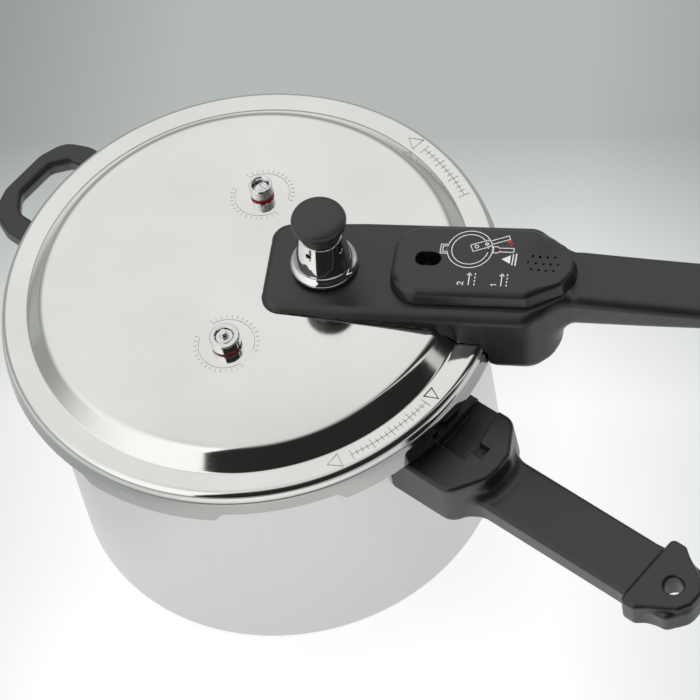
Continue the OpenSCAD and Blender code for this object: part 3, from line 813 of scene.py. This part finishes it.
def slider_field(x, y, z):
    side = np.abs(y)
    end_round, nose_round, half = 15, 5.5, 21.3
    start = SLIDER_IN + end_round
    inner_end = [(start, -9), (start, half - end_round), (180, half - end_round), (180, -9)]
    nose = [(SLIDER_IN, -9), (SLIDER_IN, half - nose_round), (146, half - nose_round), (160, 8.2),
            (SLIDER_OUT - nose_round, 2.5), (SLIDER_OUT - nose_round, -9)]
    plan = common(outline_distance(x, side, inner_end, end_round),
                  outline_distance(x, side, nose, nose_round))
    walls = drafted(plan, 0.22, 184.5 - z)
    body = common(walls, z - SLIDER_TOP, 3.2)
    body = common(body, PLATE_TOP + 0.2 - z, 0.3)
    # The slot for the indicator, the thumb scoop and its pattern of small dimples
    slot = np.hypot(np.maximum(np.abs(x - SLOT_AT + 1.4) - 2.3, 0), y - 0.4) - 4.1
    body = cut(body, slot, 0.6)
    # Below the top the slot is longer, because the indicator leans outwards as it rises
    under = np.hypot(np.maximum(np.abs(x - SLOT_AT + 0.4) - 3.3, 0), y) - 4.2
    body = cut(body, common(under, z - 184))
    scoop = np.sqrt((x - 157) ** 2 + (y - 1) ** 2 + (z - SLIDER_TOP - 42.8) ** 2) - 45
    body = cut(body, scoop, 1.2)
    dimple = np.full(np.broadcast(x, y, z).shape, 1e9)
    for row, count in ((4.4, 4), (0.2, 5), (-3.8, 4)):
        for k in range(count):
            px = 153.6 + (k - (count - 1) / 2) * 3.7
            dz = z - SLIDER_TOP + 2.0
            dimple = np.minimum(dimple, np.sqrt((x - px) ** 2 + (y - row - 0.5) ** 2 + 0.16 * dz ** 2) - 0.55)
    return cut(body, dimple, 0.15)


def make_slider():
    lo, hi = (SLIDER_IN - 2, -24, PLATE_TOP), (SLIDER_OUT + 2, 24, SLIDER_TOP)
    slider = skin("lock_slider_pad", slider_field, lo, hi, 0.5, ON_LID)
    add(slider, "lock", "charcoal_phenolic", PHENOLIC, "lock_slider")


def on_slider(x, y):
    return SLIDER_TOP + 0.01


def circle(cx, cy, radius, steps=63):
    return arc(cx, cy, radius, 0, 360, steps)


def turned_box(x, y, length, width, degrees):
    """A closed rectangle that starts in the middle of its short side at (x, y)."""
    c, s = math.cos(math.radians(degrees)), math.sin(math.radians(degrees))
    corners = [(0, -width / 2), (length, -width / 2), (length, width / 2), (0, width / 2), (0, -width / 2)]
    return [(x + u * c - v * s, y + u * s + v * c) for u, v in corners]


def filled(name, outlines, place=ON_LID):
    """Flat filled shapes on the slider's top."""
    points, faces = [], []
    thick = 0.07
    for outline in outlines:
        start, count = len(points), len(outline)
        for up in (0, thick):
            points += [(x, y, on_slider(x, y) + up) for x, y in outline]
        faces.append([start + count + k for k in range(count)])
        faces.append([start + k for k in range(count)][::-1])
        for k in range(count):
            n = (k + 1) % count
            faces.append([start + k, start + n, start + count + n, start + count + k])
    return mesh_object(name, points, faces, place)


def make_slider_marks():
    """A pictogram of the pot seen from above, a push arrow and the order of the two steps."""
    pot_x, pot_y, rim, wall = 116.4, 6.7, 11.4, 9.2
    strokes = [circle(pot_x, pot_y, rim), circle(pot_x, pot_y, wall)]
    strokes += [circle(119.6, 8.5, 0.9, 19), circle(124.6, 10.3, 0.8, 19)]
    for box in ((117.2, 7.4, 9.4, 4.2, 22), (125.9, 10.9, 10.4, 2.3, 22), (128.1, 6.9, 2.4, 3.8, 0),
                (130.5, 6.9, 8.0, 2.4, 0), (101.6, 6.6, 3.4, 5.6, 0), (102.7, 6.6, 2.2, 3.4, 0)):
        strokes.append(turned_box(*box))
    lines = painted("slider_pictogram", strokes, 0.42, on_slider, ON_LID)
    add(lines, "lock", "charcoal_phenolic", WHITE_PRINT)
    push = [[(132.9, 1.2), (137.3, -1.4), (137.3, 3.8)],
            [(138.1, -2.3), (138.7, -2.3), (138.9, 4.7), (138.3, 4.7)],
            [(139.6, -2.6), (140.3, -2.6), (140.5, 4.9), (139.8, 4.9)]]
    add(filled("slider_push_mark", push), "lock", "charcoal_phenolic", WHITE_PRINT)
    # The figures 2 and 1 stand upright when read from the pot handle's side
    foot, arrow = -15.4, 7.6
    two = [(113.0, foot), (112.5, -14.8), (112.5, -14.1), (113.0, -13.6), (113.7, -13.7), (115.2, foot),
           (115.2, -13.4)]
    one = [(130.0, foot), (129.3, -14.6), (132.0, -14.6)]
    arrows = []
    for x in (134.3, 118.0):
        tip = foot + arrow
        arrows += [[(x, foot), (x, tip)], [(x - 1.1, tip - 1.5), (x, tip), (x + 1.1, tip - 1.5)]]
    for x in (137.0, 120.9):
        arrows += [[(x, foot + dash * 2.1), (x, foot + 1.2 + dash * 2.1)] for dash in range(4)]
    figures = painted("slider_step_figures", [two, one] + arrows, 0.5, on_slider, ON_LID)
    add(figures, "lock", "charcoal_phenolic", WHITE_PRINT)
    swing = [(135.2 + 1.9 * x, 11.0 + 1.6 * y) for x, y in arc(0, 0, 1, -60, 75, 9)]
    inside = arc(pot_x, pot_y, wall, -8, 4, 7)
    head = [(136.6, 12.9), (134.7, 12.8), (135.7, 11.2)]
    turning = [swing, head, [(131.2, 5.9), (131.2, 7.9)], inside]
    red = painted("slider_turn_mark", turning, 0.5, on_slider, ON_LID)
    add(red, "lock", "charcoal_phenolic", RED_PRINT)


# ---- Pot handle and helper handle ----

def pot_handle_field(x, y, z):
    side = np.abs(y)
    half = 27.5
    plan = outline_distance(x, side, [(100, -4), (100, half - 9), (144, half - 9), (152, 6), (153, -4)], 9)
    walls = drafted(plan, 0.05, 118 - z)
    head = common(walls, common(z - POT_HEAD_TOP, POT_GRIP_Z - z, 3), 2.4)
    grip_top = POT_GRIP_Z + 13.4
    grip = common(grip_outline(x, side, 130, 11.5, 11.5, 13, 5), common(z - grip_top, POT_GRIP_Z - z), 2.6)
    # The stop near the end, wider and thicker than the grip
    stop = outline_distance(x, side, [(254, -3), (254, 18.8), (258.5, 18.8), (262.5, 15.8),
                                      (HANDLE_END - 6, 8), (HANDLE_END - 3, 3), (HANDLE_END - 3, -3)], 3)
    grip = union(grip, common(stop, common(z - grip_top - 3, POT_GRIP_Z - z), 2.4), 1.5)
    whole = common(union(head, grip, 6), POT_GRIP_Z - z)
    # The recess that the lid's lock drops into, open towards +Y, and the square hole in its wall
    plan = [(126.6, -5.5), (142.4, -5.5), (142.4, 6), (137, 34), (137, 60), (126.6, 60)]
    mouth = outline_distance(x, y, plan, 0.6)
    ramp = 125 + 0.11 * np.maximum(y - 7, 0)
    whole = cut(whole, common(mouth, ramp - z, 0.5), 0.8)
    whole = cut(whole, block(x, y, z, 140, 150, -1, 6, 125, 140), 0.4)
    # Room for the bracket's plate and its arm
    whole = cut(whole, block(x, y, z, 110, 119.6, -13.5, 13.5, 105.5, 128))
    whole = cut(whole, block(x, y, z, 110, 162, -7.2, 7.2, 108.8, 113.2))
    # A step at the inner edge that the lid's skirt passes over
    whole = cut(whole, common(np.hypot(x, y) - 122.2, 127.4 - z, 0.5), 0.6)
    whole = cut(whole, np.hypot(x, y) - POT_R - 0.15, 0.4)
    screw = np.hypot(x - 156, y)
    whole = cut(whole, common(screw - 5.2, z - POT_GRIP_Z - 2.8))
    whole = cut(whole, common(screw - 2.6, z - POT_GRIP_Z - 7))
    hanging_hole = np.hypot(x - HANDLE_END + 14, y) - 5
    return cut(whole, hanging_hole, 1.5)


def make_pot_handle():
    lo, hi = (109, -30, POT_GRIP_Z), (HANDLE_END, 30, POT_HEAD_TOP)
    handle = skin("pot_handle_moulding", pot_handle_field, lo, hi, 0.8)
    add(handle, "pot", "charcoal_phenolic", PHENOLIC, "pot_handle")


def helper_field(x, y, z):
    side = np.abs(y)
    reach, bar = -168.3, 9.8
    outer_round, inner_round = 14, 7.2
    outer_x, inner_x = reach + outer_round, reach + bar + inner_round
    outer = [(-100, -4), (-100, 20.8), (-146, 20.4), (-152, 18), (outer_x, 11.5), (outer_x, -4)]
    inner = [(-90, -4), (-90, 14.4), (-147, 14.2), (inner_x, 9), (inner_x, -4)]
    lean = 0.12 * (z - HELPER_TOP + HELPER_T / 2)
    bail = common(outline_distance(x, side, outer, outer_round),
                  -outline_distance(x, side, inner, inner_round) - lean, 3.4)
    bail = common(bail, common(z - HELPER_TOP, HELPER_TOP - HELPER_T - z), 3.8)
    bail = cut(bail, np.hypot(x, y) - POT_R - 0.2, 0.4)
    # Room for the bracket's plate, its two arms and their screws
    groove = common(np.hypot(x, y) - 119.4, common(z - HELPER_TOP + 1.2, HELPER_TOP - 10.8 - z))
    bail = cut(bail, groove)
    bail = cut(bail, block(x, side, z, -132, -110, 22.8, 33.2, HELPER_TOP - 7.2, HELPER_TOP - 2.8))
    screw = np.hypot(x + 126, side - 28)
    return cut(bail, common(screw - 4.2, z - HELPER_TOP + HELPER_T - 2))


def make_helper_handle():
    low = HELPER_TOP - HELPER_T
    handle = skin("helper_handle_moulding", helper_field, (-169, -36, low), (-108, 36, HELPER_TOP), 0.7)
    add(handle, "pot", "charcoal_phenolic", PHENOLIC, "helper_handle")


# ---- Regulator and valves ----

WEIGHT_Z, WEIGHT_TOP = 6.0, 30.6


def weight_field(x, y, z):
    r = np.hypot(x, y)
    flange = outline_distance(r, z, [(-9, WEIGHT_Z + 1.7), (15.4, WEIGHT_Z + 1.7), (15.4, WEIGHT_Z + 1.8),
                                     (-9, WEIGHT_Z + 1.8)], 1.7)
    bell = outline_distance(r, z, [(-9, WEIGHT_Z + 1), (13.4, WEIGHT_Z + 1), (13.3, 12), (12.6, 17),
                                   (11.2, 24.5), (10.2, WEIGHT_TOP - 0.6), (-9, WEIGHT_TOP - 0.6)], 0.6)
    bell = common(union(bell, flange, 3), WEIGHT_Z - z)
    bell = cut(bell, common(r - 9.8, z - 27.4, 1), 0.5)
    bell = cut(bell, r - 4.08, 0.2)
    turned = math.radians(-26)
    for quarter in range(4):
        a = turned + quarter * math.pi / 2
        across = -x * math.sin(a) + y * math.cos(a)
        ahead = x * math.cos(a) + y * math.sin(a)
        hole = common(np.hypot(across, z - 25.1) - 1.4, -ahead)
        bell = cut(bell, hole, 0.35)
    return bell


def make_regulator():
    lo, hi = (-17.2, -17.2, WEIGHT_Z), (17.2, 17.2, WEIGHT_TOP)
    weight = skin("regulator_weight_bell", weight_field, lo, hi, 0.42, AT_VENT)
    add(weight, "regulator", "chrome", CHROME, "regulator_weight")
    base = WEIGHT_TOP + 0.1
    side = [(0, 3.9, 0), (4.6, 3.9, 0.3), (4.6, 0, 0.3), (10.2, 0, 0.4), (10.7, 2.4, 1), (11.0, 4.6, 0.4),
            (12.1, 5.2, 0.5), (13.4, 8.4, 2), (14.0, 11.4, 2.5), (13.1, 13.6, 1.5)]
    cap = [(r, base + z, radius) for r, z, radius in side]
    dome = [(12.4 * r, base + 13.6 + 1.9 * z) for r, z in arc(0, 0, 1, 12, 90, 13)]
    outline = rounded(cap + [(*dome[0], 0)], closed=False, step=9) + dome[1:-1] + [(0, dome[-1][1])]
    button = lathe("regulator_cap_knob", outline, AT_VENT, 96)
    add(button, "regulator", "charcoal_phenolic", CAP_PHENOLIC, "regulator_cap")
    coil("regulator_spring_coil", "regulator_stem", "regulator_spring", AT_VENT, 5.45, 0.5, 23.7, 26.5, 3)


def coil(name, body, node, place, radius, wire, z0, z1, turns):
    """A compression spring, with flat end turns."""
    steps = 24 * (turns + 2)
    t = np.linspace(0, turns + 2, steps)
    z = z0 + (z1 - z0) * np.clip(t - 1, 0, turns) / turns
    route = np.stack([radius * np.cos(2 * math.pi * t), radius * np.sin(2 * math.pi * t), z], 1)
    spring = tube_along(name, route, wire, place)
    return add(spring, body, "steel", STEEL, node)


def squeeze(spring):
    """Gives the spring a mesh of its own."""
    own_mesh(spring)


def knurl(points, angle, low, high, depth=0.16, count=52):
    """Diamond knurling between two heights."""
    points = points.copy()
    band = (points[:, 1] > low) & (points[:, 1] < high) & (points[:, 0] > 5.9)
    z = points[band, 1]
    a = count * angle
    slant = 2 * math.pi * z / 0.85
    points[band, 0] -= depth * (1 - np.abs(np.cos((a + slant) / 2) * np.cos((a - slant) / 2)))
    return points


def red_ring(valve, place, body, inner, outer, low, high, edge):
    corners = [(inner, low, 0.1), (outer, low, edge), (outer, high, edge), (inner, high, 0.1)]
    ring = lathe(f"{valve}_red_ring", rounded(corners, step=15), place, 96)
    add(ring, body, "red_silicone", RED, f"{valve}_ring")


def make_safety_valve():
    corners = [(1.3, -9.5, 0.2), (3.95, -9.5, 0.4), (3.95, 1.4, 0), (5.7, 1.4, 0.2), (6.05, 1.8, 0.2)]
    band = [(6.05, z, 0) for z in np.linspace(2.0, 6.9, 36)]
    upper = [(6.05, 8.1, 0.8), (4.9, 8.1, 0.3), (4.35, 7.6, 0.3), (4.2, 3.6, 0.2), (2.7, 3.6, 0.1),
             (2.7, -6.4, 0.1), (1.3, -6.4, 0.1)]
    outline = rounded(corners + band + upper, step=12)
    body = lathe("safety_valve_housing", outline, AT_SAFETY, 352, lambda p, a: knurl(p, a, 2.1, 6.8))
    add(body, "lid", "chrome", CHROME, "safety_valve_body")
    red_ring("safety_valve", AT_SAFETY, "lid", 4.1, 6.05, 0.1, 1.3, 0.4)

    def screw(x, y, z):
        r = np.hypot(x, y)
        dome = np.sqrt(r ** 2 + (z - 0.6) ** 2) - 6.4
        head = common(common(r - 4.05, z - 7.1, 0.4), common(dome, 3.8 - z, 0.2), 0.4)
        return cut(head, common(np.abs(y) - 0.6, 5.5 - z), 0.12)

    lo, hi = (-4.1, -4.1, 3.8), (4.1, 4.1, 7.1)
    slotted = skin("safety_valve_slotted_screw", screw, lo, hi, 0.16, AT_SAFETY @ turn(50))
    add(slotted, "lid", "chrome", CHROME, "safety_valve_screw")
    spring = coil("safety_valve_coil", "lid", "safety_valve_spring", AT_SAFETY, 2.05, 0.33, -2.4, 3.1, 5)
    squeeze(spring)


def make_release_valve():
    body = rounded([(1.56, -9.5, 0.1), (3.95, -9.5, 0.4), (3.95, 0.1, 0), (5.0, 0.1, 0.2), (5.0, 1.0, 0.2),
                    (1.56, 1.0, 0.1)], step=12)
    add(lathe("release_valve_housing", body, AT_RELEASE, 96), "lid", "chrome", CHROME, "release_valve_body")
    red_ring("release_valve", AT_RELEASE, "release_valve", 5.2, 7.45, 0.25, 1.2, 0.35)
    knob = rounded([(0, 3.9, 0), (1.6, 3.9, 0.1), (1.6, 1.3, 0.2), (7.3, 1.3, 0.2), (7.75, 1.7, 0.3),
                    (7.75, 7.5, 0.9), (5.2, 7.5, 0.3), (4.8, 7.1, 0.3), (4.8, 4.6, 0.2), (0, 4.6, 0)],
                   closed=False, step=10)
    add(lathe("release_valve_chrome_knob", knob, AT_RELEASE, 128), "release_valve", "chrome", CHROME,
        "release_valve_knob")
    button = rounded([(0, 4.7, 0), (4.5, 4.7, 0.15), (4.5, 6.6, 0.7), (2.2, 7.0, 0.8), (1.9, 8.2, 0.8),
                      (1.9, 11.0, 0.5), (0, 11.0, 0)], closed=False, step=10)
    add(lathe("release_valve_centre_button", button, AT_RELEASE, 96), "release_valve", "chrome", CHROME,
        "release_valve_button")
    spring = coil("release_valve_coil", "lid", "release_valve_spring", AT_RELEASE, 2.3, 0.24, -14.8, -10.0, 3)
    squeeze(spring)


def make_lock_spring():
    place = ON_LID @ shift(141.6, 2.5, 175.4) @ turn(90, "Y")
    coil("lock_spring_coil", "lid", "lock_spring", place, 2.0, 0.35, 0.8, 17.2, 9)


# ---- Floor and light ----

def make_floor():
    """A pale table that glows with painted light, and whose painted falloff darkens it softly towards the back and
    the sides of the scene.
    """
    size = 6.0
    mesh = bpy.data.meshes.new("floor")
    corners = [(-size, -size, 0), (size, -size, 0), (size, size, 0), (-size, size, 0)]
    mesh.from_pydata(corners, [], [[0, 1, 2, 3]])
    floor = put("floor", mesh)
    m = Shader("floor", (1.0, 1.0, 1.0), 0.9)
    x, y = m.split()[:2]
    # The way across the floor that is up in the picture
    up_x, up_y = -0.57, 0.822
    back = m.total(x, up_x, y, up_y)
    side = m.maths("ABSOLUTE", m.maths("SUBTRACT", m.total(x, up_y, y, -up_x), 0.028))
    # Painted falloff: the floor's colour and glow darken towards the back and the sides
    painted_falloff = m.times(m.spread(back, 1, 0.44, 0.035, 0.225), m.spread(side, 1, 0.69, 0.12, 0.24))
    # Further out the painted falloff blends into one even grey in every direction
    far = m.maths("SQRT", m.total(x, x, y, y))
    painted_falloff = m.mix(m.spread(far, 0, 1, 0.45, 1.3), painted_falloff, 0.4, "FLOAT")
    # Where the painted falloff is darkest it is tinted a little cool
    tint = m.mix(m.spread(painted_falloff, 0, 1, 0.45, 0.95), (0.93, 1.0, 0.985, 1), (1, 1, 1, 1))
    painted_floor_light = m.mix(1, tint, painted_falloff, blend="MULTIPLY")
    # The floor glows: its emission is painted light, and its base colour is the same painted light at about a
    # third
    m.give(Base_Color=m.mix(1, painted_floor_light, (0.34, 0.34, 0.34, 1), blend="MULTIPLY"), Emission_Color=painted_floor_light,
           Emission_Strength=0.80, Specular_IOR_Level=0.1)
    mesh.materials.append(m.material)


def make_world():
    """A soft studio: bright overhead, grey round the horizon, and a dark side behind the camera."""
    world = bpy.data.worlds.new("studio")
    bpy.context.scene.world = world
    world.use_nodes = True
    nodes = Nodes(world.node_tree, "Generated")
    maths, times, ramp = nodes.maths, nodes.times, nodes.ramp
    x, y, z = nodes.split()
    up = times(maths("ARCSINE", z), 180 / math.pi)
    az = times(maths("ARCTAN2", y, x), 180 / math.pi)
    # Grey round the horizon and white above, with a brighter panel in front on the left
    sky = times(ramp(up, 8, 36, 0.33, 0.81), ramp(up, 60, 72, 1, 0.88))
    panel = times(times(ramp(az, -165, -98), ramp(az, -77.5, -76.5, 1, 0)),
                  times(ramp(up, 2, 14), ramp(up, 60, 76, 1, 0)))
    light = maths("ADD", sky, times(panel, maths("SUBTRACT", 1.08, sky)))
    # A dark field on the camera's right, from azimuth -77 to about 65, and one bright slit in it
    slit = times(ramp(az, 35, 36), ramp(az, 40.5, 41.5, 1, 0))
    across = times(ramp(az, -77.5, -76.5), ramp(az, 50, 80, 1, 0))
    over = times(ramp(up, 2, 14), ramp(up, 61, 86, 1, 0))
    dark = times(times(across, over), maths("SUBTRACT", 1.0, slit))
    light = times(light, maths("SUBTRACT", 1.0, times(dark, 0.975)))
    grey = nodes.node("ShaderNodeCombineColor")
    for socket, tint in zip(grey.inputs, (1.0, 1.0, 0.985)):
        nodes.feed(socket, times(light, tint))
    background = nodes.tree.nodes["Background"]
    nodes.feed(background.inputs["Color"], grey.outputs[0])
    background.inputs["Strength"].default_value = 1.0


def make_lights():
    """Two large soft lights. They don't show in reflections, where the world stands for them."""
    rows = (("overhead", (0.35, -0.15, 2.6), 2.2, 26), ("side", (1.9, 0.9, 1.5), 1.2, 9))
    for name, place, size, power in rows:
        data = bpy.data.lights.new(name, "AREA")
        data.size = size
        data.energy = power
        light = put(name, data)
        light.location = place
        light.rotation_euler = (Vector((0.05, 0, 0.1)) - Vector(place)).to_track_quat("-Z", "Y").to_euler()
        light.visible_glossy = False


def make_stage():
    make_floor()
    make_world()
    make_lights()
    bpy.context.scene.view_settings.view_transform = "Standard"


finish_of_cad_nodes()
make_pot()
make_lid()
make_lid_marks()
make_lid_handle()
make_slider()
make_slider_marks()
make_pot_handle()
make_helper_handle()
make_regulator()
make_safety_valve()
make_release_valve()
make_lock_spring()
make_stage()
